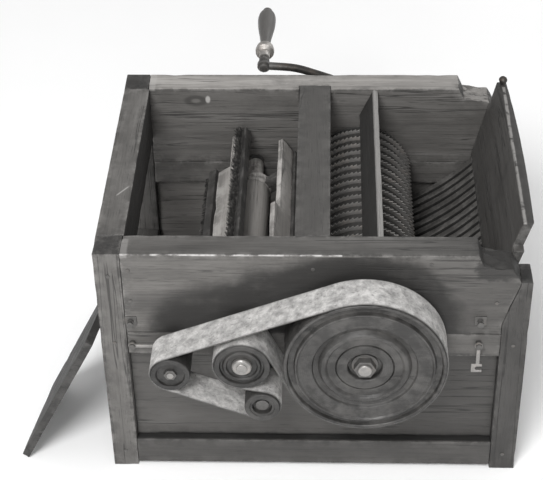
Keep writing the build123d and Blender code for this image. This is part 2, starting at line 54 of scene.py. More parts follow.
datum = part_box("post_front_left")[0]    # the cabinet's front left foot, which places are measured from

# ------------------------------------------------------------------ camera and light
YAW, PITCH, ROLL = -0.0451635, 0.6546672, -0.0223955
CAMERA_OFFSET = (0.298, -1.539, 1.583)    # from the datum
LENS = 103.08
forward = Vector((math.sin(YAW) * math.cos(PITCH), math.cos(YAW) * math.cos(PITCH), -math.sin(PITCH)))
level_right = Vector((math.cos(YAW), -math.sin(YAW), 0))
level_up = level_right.cross(forward)
right = level_right * math.cos(ROLL) + level_up * math.sin(ROLL)
up = level_up * math.cos(ROLL) - level_right * math.sin(ROLL)
camera_data = bpy.data.cameras.new("camera")
camera_data.sensor_width = 36.0
camera_data.lens = LENS
camera_data.clip_end = 50.0
camera = bpy.data.objects.new("camera", camera_data)
scene.collection.objects.link(camera)
camera.matrix_world = Matrix((
    (right.x, up.x, -forward.x, datum.x + CAMERA_OFFSET[0]),
    (right.y, up.y, -forward.y, datum.y + CAMERA_OFFSET[1]),
    (right.z, up.z, -forward.z, CAMERA_OFFSET[2]),
    (0, 0, 0, 1),
))
scene.camera = camera


def area_light(name, place, aim, size, power):
    data = bpy.data.lights.new(name, "AREA")
    data.shape = "DISK"
    data.size = size
    data.energy = power
    lamp = bpy.data.objects.new(name, data)
    scene.collection.objects.link(lamp)
    lamp.location = place
    lamp.rotation_euler = (Vector(aim) - Vector(place)).to_track_quat("-Z", "Y").to_euler()


KEY_DISTANCE, KEY_SIZE, KEY_POWER = 4.0, 1.5, 128
key_travel = Vector((0.28, 0.9, -1.0)).normalized()
middle = Vector((0.0, 0.0, 0.2))
area_light("key", middle - KEY_DISTANCE * key_travel, middle, KEY_SIZE, KEY_POWER)
area_light("front_fill", (0.3, -3.0, 1.0), middle, 2.0, 22)
area_light("back_fill", (1.6, 2.6, 1.7), middle, 2.4, 20)
world = bpy.data.worlds.new("studio")
scene.world = world
world.use_nodes = True
world.node_tree.nodes["Background"].inputs["Color"].default_value = (1, 1, 1, 1)
world.node_tree.nodes["Background"].inputs["Strength"].default_value = 0.54
scene.view_settings.view_transform = "Standard"


# ------------------------------------------------------------------ shader building blocks
class Paint:
    """A node material under construction; its methods return output sockets."""

    def __init__(self, name):
        self.material = bpy.data.materials.new(name)
        self.material.use_nodes = True
        self.tree = self.material.node_tree
        self.shader = self.tree.nodes["Principled BSDF"]
        self.place = self.node("ShaderNodeTexCoord").outputs["Object"]

    def node(self, kind, **settings):
        made = self.tree.nodes.new(kind)
        for key, value in settings.items():
            setattr(made, key, value)
        return made

    def put(self, socket, value):
        if isinstance(value, bpy.types.NodeSocket):
            self.tree.links.new(value, socket)
        else:
            socket.default_value = value

    def stretch(self, scale, shift=(0, 0, 0), vector=None):
        made = self.node("ShaderNodeMapping")
        self.put(made.inputs["Vector"], vector or self.place)
        made.inputs["Location"].default_value = shift
        made.inputs["Scale"].default_value = scale
        return made.outputs["Vector"]

    def noise(self, vector, scale=1.0, detail=2.0, roughness=0.5, distortion=0.0):
        made = self.node("ShaderNodeTexNoise")
        self.put(made.inputs["Vector"], vector)
        settings = {"Scale": scale, "Detail": detail, "Roughness": roughness, "Distortion": distortion}
        for key, value in settings.items():
            made.inputs[key].default_value = value
        return made.outputs["Fac"]

    def math(self, operation, a, b=0.0, clamp=False):
        made = self.node("ShaderNodeMath", operation=operation, use_clamp=clamp)
        self.put(made.inputs[0], a)
        self.put(made.inputs[1], b)
        return made.outputs["Value"]

    def span(self, value, low, high, to_low=0.0, to_high=1.0, smooth=True):
        made = self.node("ShaderNodeMapRange")
        made.interpolation_type = "SMOOTHSTEP" if smooth else "LINEAR"
        self.put(made.inputs["Value"], value)
        for key, number in (("From Min", low), ("From Max", high), ("To Min", to_low), ("To Max", to_high)):
            made.inputs[key].default_value = number
        return made.outputs["Result"]

    def mix(self, factor, a, b, blend="MIX"):
        made = self.node("ShaderNodeMix", data_type="RGBA", blend_type=blend)
        self.put(made.inputs["Factor"], factor)
        self.put(made.inputs[6], a if isinstance(a, bpy.types.NodeSocket) else (*a, 1))
        self.put(made.inputs[7], b if isinstance(b, bpy.types.NodeSocket) else (*b, 1))
        return made.outputs[2]

    def ramp(self, value, stops):
        made = self.node("ShaderNodeValToRGB")
        self.put(made.inputs["Fac"], value)
        elements = made.color_ramp.elements
        while len(elements) < len(stops):
            elements.new(0.5)
        for element, (position, colour) in zip(elements, stops):
            element.position = position
            element.color = (*colour, 1)
        return made.outputs["Color"]

    def attribute(self, name):
        return self.node("ShaderNodeAttribute", attribute_name=name).outputs

    def split(self, vector):
        made = self.node("ShaderNodeSeparateXYZ")
        self.put(made.inputs["Vector"], vector)
        return made.outputs

    def distance(self, vector, point, scale=(1, 1, 1)):
        """How far the surface is from a point, in metres, after scaling."""
        moved = self.stretch(scale, tuple(-p * s for p, s in zip(point, scale)), vector)
        made = self.node("ShaderNodeVectorMath", operation="LENGTH")
        self.put(made.inputs[0], moved)
        return made.outputs["Value"]

    def finish(self, colour, roughness=0.6, height=None, depth=0.0004, metallic=0.0, **sockets):
        self.put(self.shader.inputs["Base Color"], colour)
        self.put(self.shader.inputs["Roughness"], roughness)
        self.shader.inputs["Metallic"].default_value = metallic
        for key, value in sockets.items():
            self.shader.inputs[key.replace("_", " ")].default_value = value
        if height is not None:
            bump = self.node("ShaderNodeBump")
            bump.inputs["Strength"].default_value = 1.0
            bump.inputs["Distance"].default_value = depth
            self.put(bump.inputs["Height"], height)
            self.put(self.shader.inputs["Normal"], bump.outputs["Normal"])
        return self.material


def grey(value, warmth=0.0):
    """A near-neutral colour of that brightness; warmth shifts it towards brown."""
    return (value * (1 + warmth), value, value * (1 - 1.1 * warmth))


AXES = {"X": 0, "Y": 1, "Z": 2}


def along(axis, length_scale, cross_scale):
    scale = [cross_scale] * 3
    scale[AXES[axis]] = length_scale
    return tuple(scale)


def timber(name, tone, grain="X", warmth=0.05, contrast=0.45, wear=0.5, gloss=0.55, blotch=0.5,
           top=1.0, extra=None):
    """Aged wood with grain along one axis. Tone is its middle brightness; top scales level upward faces, as
    painted light and shade.
    """
    paint = Paint(name)
    shift = (draw.uniform(0, 9), draw.uniform(0, 9), draw.uniform(0, 9))
    streaks = paint.noise(paint.stretch(along(grain, 2.6, 46.0), shift), 1.0, 7.0, 0.68, 0.25)
    fibre = paint.noise(paint.stretch(along(grain, 13.0, 420.0), shift), 1.0, 4.0, 0.62)
    patches = paint.noise(paint.stretch(along(grain, 5.0, 13.0), shift), 1.0, 5.0, 0.62, 0.3)
    field = paint.math("ADD", paint.math("MULTIPLY", streaks, 0.52), paint.math("MULTIPLY", fibre, 0.22))
    field = paint.math("ADD", field, paint.math("MULTIPLY", patches, 0.26 + 0.2 * blotch))
    middle = 0.5 * (1.0 + 0.2 * blotch)
    low, high = tone * (1 - contrast), tone * (1 + 1.15 * contrast)
    colour = paint.ramp(field, [
        (middle - 0.15, grey(low, warmth)),
        (middle, grey(tone, warmth)),
        (middle + 0.15, grey(high, warmth * 0.8)),
    ])
    cracks = paint.noise(paint.stretch(along(grain, 1.7, 62.0), shift), 1.0, 3.0, 0.5)
    cracks = paint.math("ABSOLUTE", paint.math("SUBTRACT", cracks, 0.47))
    cracks = paint.span(cracks, 0.004, 0.014, 1.0, 0.0)
    cracks = paint.math("MULTIPLY", cracks, paint.span(patches, 0.46, 0.56))
    colour = paint.mix(paint.math("MULTIPLY", cracks, 0.75), colour, grey(tone * 0.25, warmth))
    pores = paint.noise(paint.stretch(along(grain, 34.0, 760.0), shift), 1.0, 2.0, 0.6)
    pores = paint.span(pores, 0.60, 0.72)
    colour = paint.mix(paint.math("MULTIPLY", pores, 0.5), colour, grey(tone * 0.35, warmth))
    facing = paint.split(paint.node("ShaderNodeTexCoord").outputs["Normal"])
    end_grain = paint.span(paint.math("ABSOLUTE", facing[AXES[grain]]), 0.72, 0.9)
    end_rings = paint.noise(paint.stretch(along(grain, 20.0, 120.0), shift), 1.0, 4.0, 0.6, 0.8)
    end_colour = paint.ramp(end_rings, [(0.3, grey(tone * 0.32, warmth)), (0.7, grey(tone * 0.85, warmth))])
    colour = paint.mix(end_grain, colour, end_colour)
    # painted light and shade: level upward faces are made lighter or darker by the top factor
    if top != 1.0:
        upward = paint.span(facing["Z"], 0.75, 0.95)
        colour = paint.mix(upward, colour, paint.mix(1.0, colour, grey(top), "MULTIPLY"))
    dirt = paint.span(paint.noise(paint.stretch((8, 8, 8), shift), 1.0, 6.0, 0.66, 0.3), 0.50, 0.72)
    colour = paint.mix(paint.math("MULTIPLY", dirt, 0.8 * blotch), colour, grey(tone * 0.38, warmth))
    rub = paint.noise(paint.stretch((45, 45, 45), shift), 1.0, 5.0, 0.7)
    edge = paint.attribute("wear")["Fac"]
    worn = paint.math("MULTIPLY", edge, paint.span(rub, 0.44, 0.64))
    colour = paint.mix(paint.math("MULTIPLY", worn, wear), colour, grey(min(0.6, tone * 3.0), warmth * 0.7))
    grime = paint.math("MULTIPLY", edge, paint.span(rub, 0.40, 0.54, 1.0, 0.0))
    colour = paint.mix(paint.math("MULTIPLY", grime, 0.55), colour, grey(tone * 0.30, warmth))
    if extra:
        colour = extra(paint, colour, tone, warmth)
    height = paint.math("ADD", paint.math("MULTIPLY", fibre, 0.7), paint.math("MULTIPLY", streaks, 0.5))
    height = paint.math("SUBTRACT", height, paint.math("MULTIPLY", pores, 0.5))
    height = paint.math("SUBTRACT", height, paint.math("MULTIPLY", cracks, 1.2))
    roughness = paint.span(streaks, 0.3, 0.7, gloss, gloss + 0.25)
    return paint.finish(colour, roughness, height, 0.0004)


def iron(name, tone=0.045, rust=0.35, gloss=0.42):
    """Old ironwork: dark, uneven, with dull rust in the hollows and rubbed high spots."""
    paint = Paint(name)
    shift = (draw.uniform(0, 9), draw.uniform(0, 9), draw.uniform(0, 9))
    patch = paint.noise(paint.stretch((60, 60, 60), shift), 1.0, 5.0, 0.62)
    speck = paint.noise(paint.stretch((420, 420, 420), shift), 1.0, 3.0, 0.6)
    colour = paint.ramp(patch, [(0.32, grey(tone * 0.55, 0.05)), (0.68, grey(tone * 1.5, 0.06))])
    rusty = paint.math("MULTIPLY", paint.span(patch, 0.50, 0.66), paint.span(speck, 0.35, 0.6))
    colour = paint.mix(paint.math("MULTIPLY", rusty, rust), colour, (tone * 2.2, tone * 1.35, tone * 0.8))
    edge = paint.attribute("wear")["Fac"]
    colour = paint.mix(paint.math("MULTIPLY", edge, 0.5), colour, grey(min(0.5, tone * 5), 0.02))
    height = paint.math("ADD", patch, paint.math("MULTIPLY", speck, 0.5))
    roughness = paint.span(speck, 0.3, 0.7, gloss, gloss + 0.25)
    return paint.finish(colour, roughness, height, 0.00025, metallic=0.75)


# ------------------------------------------------------------------ mesh building blocks
def new_object(name, bm, material, body, smooth=35.0):
    mesh = bpy.data.meshes.new(name)
    bm.normal_update()
    bm.to_mesh(mesh)
    bm.free()
    made = bpy.data.objects.new(name, mesh)
    scene.collection.objects.link(made)
    mesh.materials.append(material)
    for polygon in mesh.polygons:
        polygon.use_smooth = True
    mesh.set_sharp_from_angle(angle=math.radians(smooth))
    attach(made, body)
    return made


def stand_in(piece, node):
    """The piece takes a CAD node's place and its body."""
    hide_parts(node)
    return piece


def cad_copy(node):
    """A welded copy of a CAD node's mesh, with its flat sides as single faces."""
    bm = bmesh.new()
    bm.from_mesh(nodes[node].data)
    bmesh.ops.remove_doubles(bm, verts=bm.verts, dist=2e-6)
    bmesh.ops.dissolve_limit(bm, angle_limit=math.radians(0.4), verts=bm.verts, edges=bm.edges)
    return bm


def sharp_edges(bm, angle=28.0):
    limit = math.radians(angle)
    return [e for e in bm.edges if len(e.link_faces) == 2 and e.calc_face_angle(0.0) > limit]


def edge_distance(points, segments):
    """The distance of each point from the nearest of some segments."""
    best = np.full(len(points), 1e9)
    for a, b in segments:
        d = b - a
        t = np.clip(((points - a) @ d) / max(float(d @ d), 1e-12), 0, 1)
        best = np.minimum(best, np.linalg.norm(points - (a + t[:, None] * d), axis=1))
    return best


def slice_up(bm, axis, places):
    normal = [0, 0, 0]
    normal[axis] = 1
    for value in places:
        point = [0, 0, 0]
        point[axis] = value
        geometry = bm.verts[:] + bm.edges[:] + bm.faces[:]
        bmesh.ops.bisect_plane(bm, geom=geometry, dist=1e-7, plane_co=point, plane_no=normal)


def steps(low, high, step, margin):
    """Places to slice at: a close pair near each end and even steps between."""
    if high - low < 2.5 * margin:
        return [(low + high) / 2]
    inner_low, inner_high = low + margin, high - margin
    count = max(1, round((inner_high - inner_low) / step))
    return [inner_low + (inner_high - inner_low) * i / count for i in range(count + 1)]


def soften(bm, edges, offset):
    """Round the edges off."""
    bmesh.ops.bevel(
        bm, geom=edges, offset=offset, segments=2, profile=0.6, affect="EDGES", clamp_overlap=True,
    )


def worn_piece(node, material, bevel=0.0011, step=0.016, wobble=0.00035, chip=0.0014, splinter=None,
               seed=0.0, bend=None):
    """A CAD timber as an old one: rounded, dented, with nicked edges."""
    bm = cad_copy(node)
    edges = sharp_edges(bm)
    segments = [(np.array(e.verts[0].co), np.array(e.verts[1].co)) for e in edges]
    soften(bm, edges, bevel)
    low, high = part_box(node)
    for axis in range(3):
        slice_up(bm, axis, steps(low[axis], high[axis], step, 0.004))
    if splinter:
        for axis in range(3):
            a, b = splinter[0][axis], splinter[1][axis]
            slice_up(bm, axis, [a + (b - a) * i / 12 for i in range(13)])
    bm.normal_update()
    bm.verts.ensure_lookup_table()
    points = np.array([v.co for v in bm.verts])
    away = edge_distance(points, segments)
    normals = [v.normal.copy() for v in bm.verts]
    layer = bm.verts.layers.float.new("wear")
    for vertex, distance, normal in zip(bm.verts, away, normals):
        p = vertex.co * 1.0 + Vector((seed, seed * 2, seed * 3))
        near = math.exp(-distance / 0.0035)
        dent = 0.5 + 0.5 * noise.noise(p * 16)
        nick = max(0.0, noise.noise(p * 75) - 0.18) * near
        vertex.co -= normal * (wobble * dent + chip * 2.2 * nick)
        vertex[layer] = near
        if splinter:
            lo, hi = splinter
            inside = min(min(vertex.co[i] - lo[i], hi[i] - vertex.co[i]) for i in range(3))
            if inside > 0:
                depth = min(1.0, inside / 0.004)
                ridge = abs(noise.noise(Vector((p.x * 60, p.y * 190, p.z * 60))))
                vertex.co -= Vector((0, 0, 1)) * depth * ridge * 0.009
                vertex[layer] *= 0.2
    if bend:
        for vertex in bm.verts:
            vertex.co += bend(vertex.co)
    return stand_in(new_object(f"worn_{node}", bm, material, node_body[node], 40.0), node)


def dress(node, material, bevel=0.0005, angle=28.0, bend=None):
    """A CAD shape kept as it is, with softened edges and a finish of its own."""
    bm = cad_copy(node)
    edges = sharp_edges(bm, angle)
    segments = [(np.array(e.verts[0].co), np.array(e.verts[1].co)) for e in edges]
    soften(bm, edges, bevel)
    layer = bm.verts.layers.float.new("wear")
    bm.verts.ensure_lookup_table()
    points = np.array([v.co for v in bm.verts])
    away = edge_distance(points, segments) if segments else np.ones(len(points))
    for vertex, distance in zip(bm.verts, away):
        vertex[layer] = math.exp(-distance / 0.0012)
    if bend:
        for vertex in bm.verts:
            vertex.co += bend(vertex.co)
    return stand_in(new_object(f"dressed_{node}", bm, material, node_body[node], angle + 8), node)


# ------------------------------------------------------------------ marks on single boards
def centre_of(node):
    low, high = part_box(node)
    return Vector(((low.x + high.x) / 2, (low.y + high.y) / 2, (low.z + high.z) / 2))


def radius_of(node):
    low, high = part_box(node)
    return (high.x - low.x) / 2


def within(paint, low, high, soft=0.004, uneven=0.0):
    """A mask, 1 inside a box. None leaves a side open; uneven roughens its border."""
    parts = paint.split(paint.place)
    jitter = paint.noise(paint.stretch((55, 55, 55)), 1.0, 4.0, 0.65)
    jitter = paint.math("MULTIPLY", paint.math("SUBTRACT", jitter, 0.5), uneven)
    mask = 1.0
    for key, a, b in zip("XYZ", low, high):
        place = paint.math("ADD", parts[key], jitter)
        if a is not None:
            mask = paint.math("MULTIPLY", paint.span(place, a - soft, a + soft), mask)
        if b is not None:
            mask = paint.math("MULTIPLY", paint.span(place, b - soft, b + soft, 1.0, 0.0), mask)
    return mask


def broken(paint, low, high, scale):
    """A patchy 0 to 1 field, for marks that are worn through in places."""
    return paint.span(paint.noise(paint.stretch((scale, scale, scale)), 1.0, 5.0, 0.65), low, high)


upper_low, upper_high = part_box("upper_board_front")
back_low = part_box("upper_board_back")[0]
rim = upper_high.z
front_face = upper_low.y
wheel = centre_of("big_wheel")
NOTCH_LENGTH = 0.056
BELT_RISE = 0.1135    # how high the belt's top run passes over the wheel's centre
notch_x = upper_high.x - NOTCH_LENGTH
belt_lean = 0.40
belt_level = wheel.z + BELT_RISE - belt_lean * wheel.x


def front_marks(paint, colour, tone, warmth):
    """A dark band along the belt and round the wheel, a bright front arris, a fresh end by the post, painted
    shade towards the right and the dark broken corner.
    """
    parts = paint.split(paint.place)
    ragged = paint.noise(paint.stretch((16, 16, 16)), 1.0, 5.0, 0.62)
    drift = paint.math("MULTIPLY", paint.math("SUBTRACT", ragged, 0.5), 0.07)
    rise = paint.math("SUBTRACT", parts["Z"], paint.math("MULTIPLY", parts["X"], belt_lean))
    rise = paint.math("ADD", rise, drift)
    band = paint.span(rise, belt_level + 0.026, belt_level + 0.062, 1.0, 0.0)
    left = paint.span(paint.math("ADD", parts["X"], drift), datum.x + 0.063, datum.x + 0.091)
    reach = paint.span(parts["X"], wheel.x - 0.02, wheel.x + 0.05, 1.0, 0.0)
    near_wheel = paint.distance(paint.place, (wheel.x, front_face, wheel.z), (1, 0, 1))
    over = paint.span(paint.math("ADD", near_wheel, drift), 0.116, 0.146, 1.0, 0.0)
    mark = paint.math("MAXIMUM", paint.math("MULTIPLY", paint.math("MULTIPLY", band, left), reach), over)
    on_face = within(paint, (None, None, None), (None, front_face + 0.002, rim - 0.003), 0.001)
    thickness = paint.math("MULTIPLY", on_face, paint.span(ragged, 0.25, 0.5, 0.62, 0.93))
    mark = paint.math("MULTIPLY", mark, thickness)
    colour = paint.mix(mark, colour, grey(tone * 0.16, warmth))
    arris_end = (wheel.x - 0.03, front_face + 0.0018, None)
    arris = within(paint, (upper_low.x, None, rim - 0.0016), arris_end, 0.0010)
    arris = paint.math("MULTIPLY", arris, broken(paint, 0.42, 0.58, 55))
    colour = paint.mix(paint.math("MULTIPLY", arris, 0.9), colour, grey(0.50, 0.02))
    fresh = (upper_low.x + 0.009, upper_low.y + 0.033, None)
    end = within(paint, (None, None, rim - 0.006), fresh, 0.0015, 0.003)
    colour = paint.mix(paint.math("MULTIPLY", end, 0.4), colour, grey(0.30, 0.03))
    # painted shade: the board is made darker towards the right, where the light falls off
    shade = paint.span(parts["X"], wheel.x - 0.03, wheel.x + 0.14, 0.0, 0.42)
    colour = paint.mix(shade, colour, grey(tone * 0.2, warmth))
    corner = within(paint, (notch_x, None, 0.338), (None, None, None), 0.004, 0.03)
    return paint.mix(paint.math("MULTIPLY", corner, 0.8), colour, grey(tone * 0.18, warmth))


def back_marks(paint, colour, tone, warmth):
    """A knot and its bright chip inside, and a fresh end beside the post."""
    face = back_low.y
    knot = paint.distance(paint.place, (datum.x + 0.104, face, 0.3555), (1.0, 1.0, 1.9))
    ring = paint.math("MULTIPLY", paint.span(knot, 0.004, 0.010), paint.span(knot, 0.013, 0.021, 1.0, 0.0))
    colour = paint.mix(paint.math("MULTIPLY", ring, 0.7), colour, grey(tone * 0.38, warmth))
    core = paint.span(knot, 0.003, 0.008, 1.0, 0.0)
    colour = paint.mix(paint.math("MULTIPLY", core, 0.5), colour, grey(tone * 1.5, warmth))
    chip = paint.distance(paint.place, (datum.x + 0.1218, face, 0.358), (1.0, 1.0, 0.6))
    chip = paint.span(chip, 0.0022, 0.0046, 1.0, 0.0)
    colour = paint.mix(paint.math("MULTIPLY", chip, 0.85), colour, grey(0.42, 0.03))
    end = within(paint, (None, None, rim - 0.003), (back_low.x + 0.010, None, None), 0.0015, 0.004)
    return paint.mix(paint.math("MULTIPLY", end, 0.3), colour, grey(0.42, 0.03))


def panel_marks(paint, colour, tone, warmth):
    """Darker along the foot of the sunk panel, painted shade towards the right, and painted shade in patches
    under the pulleys.
    """
    low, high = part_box("lower_panel_front")
    foot = within(paint, (low.x + 0.03, None, None), (None, None, low.z + 0.003), 0.0022, 0.003)
    colour = paint.mix(paint.math("MULTIPLY", foot, 0.85), colour, grey(tone * 0.12, warmth))
    parts = paint.split(paint.place)
    # painted shade: darker towards the right, where the light falls off
    shade = paint.span(parts["X"], low.x + 0.10, high.x, 0.0, 0.38, smooth=False)
    colour = paint.mix(shade, colour, grey(tone * 0.2, warmth))
    # painted shade under the pulleys, broken into patches
    pulley = paint.distance(paint.place, (wheel.x - 0.20, low.y, 0.205), (0.62, 0, 1.0))
    near = paint.span(pulley, 0.035, 0.075, 1.0, 0.0)
    pulley_shade_patches = paint.math("MULTIPLY", near, broken(paint, 0.35, 0.6, 22))
    return paint.mix(paint.math("MULTIPLY", pulley_shade_patches, 0.35), colour, grey(tone * 0.3, warmth))


def rail_marks(paint, colour, tone, warmth):
    """The ledge at the panel's foot, made near black."""
    low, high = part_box("bottom_rail_front")
    ledge = within(paint, (None, low.y + 0.003, high.z - 0.0015), (None, None, None), 0.0016, 0.002)
    return paint.mix(paint.math("MULTIPLY", ledge, 0.9), colour, grey(tone * 0.13, warmth))


def end_board_marks(paint, colour, tone, warmth):
    """A rubbed line along the inner arris of the top edge."""
    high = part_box("hopper_end_board")[1]
    top = within(paint, (None, None, high.z - 0.0030), (None, None, None), 0.0010, 0.002)
    colour = paint.mix(paint.math("MULTIPLY", top, 0.7), colour, grey(tone * 0.3, warmth))
    line_start = (high.x - 0.0135, None, high.z - 0.0030)
    line = within(paint, line_start, (high.x - 0.0095, None, None), 0.0010, 0.002)
    line = paint.math("MULTIPLY", line, broken(paint, 0.34, 0.50, 60))
    return paint.mix(paint.math("MULTIPLY", line, 0.7), colour, grey(0.30, 0.03))


def partition_marks(paint, colour, tone, warmth):
    """The partition's bare top edge."""
    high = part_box("partition_board")[1]
    line = within(paint, (high.x - 0.009, None, high.z - 0.004), (None, None, None), 0.0012, 0.002)
    return paint.mix(paint.math("MULTIPLY", line, 0.8), colour, grey(0.30, 0.03))


def scratched(paint, colour, tone, warmth):
    """One pale scratch across the left board's top, and painted shade on its inner face."""
    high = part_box("top_board_left")[1]
    # painted shade: the inner face is darkened where little light reaches it
    inner = within(paint, (high.x - 0.0015, None, None), (None, None, rim - 0.002), 0.0008)
    colour = paint.mix(paint.math("MULTIPLY", inner, 0.75), colour, grey(tone * 0.15, warmth))
    turned = paint.node("ShaderNodeMapping")
    paint.put(turned.inputs["Vector"], paint.place)
    turned.inputs["Rotation"].default_value = (0, 0, math.radians(35))
    along_cut = paint.split(turned.outputs["Vector"])
    centre = Matrix.Rotation(math.radians(35), 3, "Z") @ Vector((datum.x + 0.025, datum.y + 0.138, rim))
    line = paint.math("ABSOLUTE", paint.math("SUBTRACT", along_cut["X"], centre.x))
    line = paint.span(line, 0.0006, 0.0016, 1.0, 0.0)
    length = paint.math("ABSOLUTE", paint.math("SUBTRACT", along_cut["Y"], centre.y))
    length = paint.span(length, 0.009, 0.015, 1.0, 0.0)
    cut = paint.math("MULTIPLY", paint.math("MULTIPLY", line, length), 0.7)
    return paint.mix(cut, colour, grey(0.34, 0.03))


# ------------------------------------------------------------------ timbers
finishes = {
    # the top values below are painted light and shade on the boards' level upward faces
    "upper_board_front": timber("wood_upper_front", 0.105, "X", contrast=0.5, wear=0.45, blotch=0.6,
                                top=0.70, extra=front_marks),
    "upper_board_back": timber("wood_upper_back", 0.098, "X", contrast=0.45, wear=0.5, blotch=0.5, top=2.5,
                               extra=back_marks),
    "bottom_rail_front": timber("wood_bottom_front", 0.050, "X", wear=0.3, extra=rail_marks),
    "bottom_rail_back": timber("wood_bottom_back", 0.100, "X", wear=0.3),
    "lower_panel_front": timber("wood_panel_front", 0.065, "X", contrast=0.32, wear=0.15, blotch=0.35,
                                extra=panel_marks),
    # painted light: the inner back panel is made much paler than its front fellow so that it looks lit
    "lower_panel_back": timber("wood_panel_back", 0.150, "X", contrast=0.35, wear=0.2, blotch=0.4),
    "bearing_rail_front": timber("wood_bearing_front", 0.085, "X", wear=0.4),
    "bearing_rail_back": timber("wood_bearing_back", 0.090, "X", wear=0.4),
    "top_board_left": timber("wood_top_left", 0.095, "Y", wear=0.5, extra=scratched),
    "top_rail_right": timber("wood_rail_right", 0.090, "Y", wear=0.4),
    "bottom_rail_left": timber("wood_sill_left", 0.050, "Y", wear=0.3),
    "bottom_rail_right": timber("wood_bottom_right", 0.090, "Y", wear=0.3),
    "lower_panel_right": timber("wood_panel_right", 0.090, "Y", wear=0.2),
    "post_front_left": timber("wood_post_fl", 0.090, "Z", contrast=0.38, wear=0.4, top=0.6),
    # painted shade: the front right post is made darker than the other posts, for light falling off to the
    # right
    "post_front_right": timber("wood_post_fr", 0.040, "Z", contrast=0.38, wear=0.4, top=0.5),
    "post_back_left": timber("wood_post_bl", 0.070, "Z", contrast=0.38, wear=0.4, top=0.6),
    "post_back_right": timber("wood_post_br", 0.090, "Z", contrast=0.38, wear=0.4, top=0.6),
    "cross_board": timber("wood_cross", 0.062, "Y", contrast=0.28, wear=0.3, blotch=0.35),
    "partition_board": timber("wood_partition", 0.022, "Y", contrast=0.3, wear=0.4, extra=partition_marks),
    "hopper_end_board": timber("wood_end_board", 0.060, "Y", contrast=0.28, wear=0.5,
                               extra=end_board_marks),
    "floor_board": timber("wood_floor", 0.050, "Y", contrast=0.4, wear=0.2),
    "delivery_board": timber("wood_delivery", 0.030, "X", contrast=0.4, wear=0.4),
    "grate_foot_rail": timber("wood_foot_rail", 0.050, "Y"),
    "grate_head_rail": timber("wood_head_rail", 0.050, "Y"),
}


SPRING_IN, SPRING_UP, BOW = 0.007, 0.004, 0.002


def end_board_twist(co):
    """The end board's far top corner is sprung inward and stands a little higher."""
    low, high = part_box("hopper_end_board")
    rise = min(1.0, max(0.0, (co.z - low.z) / (high.z - low.z)))
    far = min(1.0, max(0.0, (co.y - low.y) / (high.y - low.y)))
    corner = rise * far ** 3
    return Vector((-SPRING_IN * corner + BOW * rise * math.sin(math.pi * far), 0, SPRING_UP * corner))


for index, (node, finish) in enumerate(finishes.items()):
    thin = node in ("partition_board", "delivery_board")
    splinter = None
    if node.startswith("upper_board"):
        low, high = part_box(node)
        splinter = ((notch_x + 0.006, low.y - 0.001, 0.347), (high.x + 0.001, high.y + 0.001, rim + 0.001))
    worn_piece(node, finish, bevel=0.0006 if thin else 0.0011, chip=0.0008 if thin else 0.0014,
               splinter=splinter, seed=index * 1.37,
               bend=end_board_twist if node == "hopper_end_board" else None)

# ------------------------------------------------------------------ ironwork
dark_iron = iron("old_iron", tone=0.05)
rubbed_iron = iron("rubbed_iron", tone=0.15, rust=0.25, gloss=0.34)
for node in ("shaft_bushes", "idler_bracket", "crank_arm", "crank_pin", "hook_pins", "wheel_nut",
             "catch_plates", "left_nut", "post_nails", "upper_board_nails"):
    dress(node, dark_iron, 0.0004)
dress("end_board_peg", dark_iron, 0.0004, bend=end_board_twist)
for node in ("drum_shaft", "brush_shaft", "left_stud", "brush_nut", "crank_nut", "hook_front_left",
             "hook_front_right", "hook_back_left", "hook_back_right"):
    dress(node, rubbed_iron, 0.0005)
dress("grip_ferrule", iron("ferrule_metal", tone=0.32, rust=0.1, gloss=0.28), 0.0005)
dress("drum_saws", iron("saw_steel", tone=0.17, rust=0.3, gloss=0.4), 0.0002, 60)

# ------------------------------------------------------------------ turned wood
def turned_wood(name, tone, node):
    """Turned face-grain wood, with tool rings about the node's own axis and painted sheen in patches."""
    centre = centre_of(node)

    def rings(paint, colour, tone, warmth):
        away = paint.distance(paint.place, (centre.x, 0, centre.z), (1, 0, 1))
        wander = paint.noise(paint.stretch((22, 22, 22)), 1.0, 3.0, 0.6)
        phase = paint.math("ADD", paint.math("MULTIPLY", away, 2400.0), paint.math("MULTIPLY", wander, 9.0))
        lines = paint.span(paint.math("SINE", phase), 0.1, 0.95)
        colour = paint.mix(paint.math("MULTIPLY", lines, 0.28), colour, grey(tone * 0.45, warmth))
        # painted sheen: patches of the turned face made paler, as if catching the light
        shine = paint.math("MULTIPLY", paint.span(wander, 0.50, 0.66), 0.5)
        return paint.mix(shine, colour, grey(tone * 2.6, warmth))

    return timber(name, tone, "X", contrast=0.5, wear=0.55, gloss=0.36, blotch=0.5, extra=rings)


dress("big_wheel", turned_wood("wood_wheel", 0.030, "big_wheel"), 0.0006, 20)
dress("brush_pulley", turned_wood("wood_brush_pulley", 0.022, "brush_pulley"), 0.0006, 20)
dress("left_pulley", turned_wood("wood_left_pulley", 0.020, "left_pulley"), 0.0006, 20)
dress("idler_pulley", turned_wood("wood_idler", 0.026, "idler_pulley"), 0.0006, 20)


def rib_marks(paint, colour, tone, warmth):
    """Darker down the ribs' sides, so that only their backs stay pale."""
    facing = paint.split(paint.node("ShaderNodeTexCoord").outputs["Normal"])
    side = paint.span(paint.math("ABSOLUTE", facing["Y"]), 0.25, 0.75)
    return paint.mix(paint.math("MULTIPLY", side, 0.9), colour, grey(tone * 0.12, warmth))


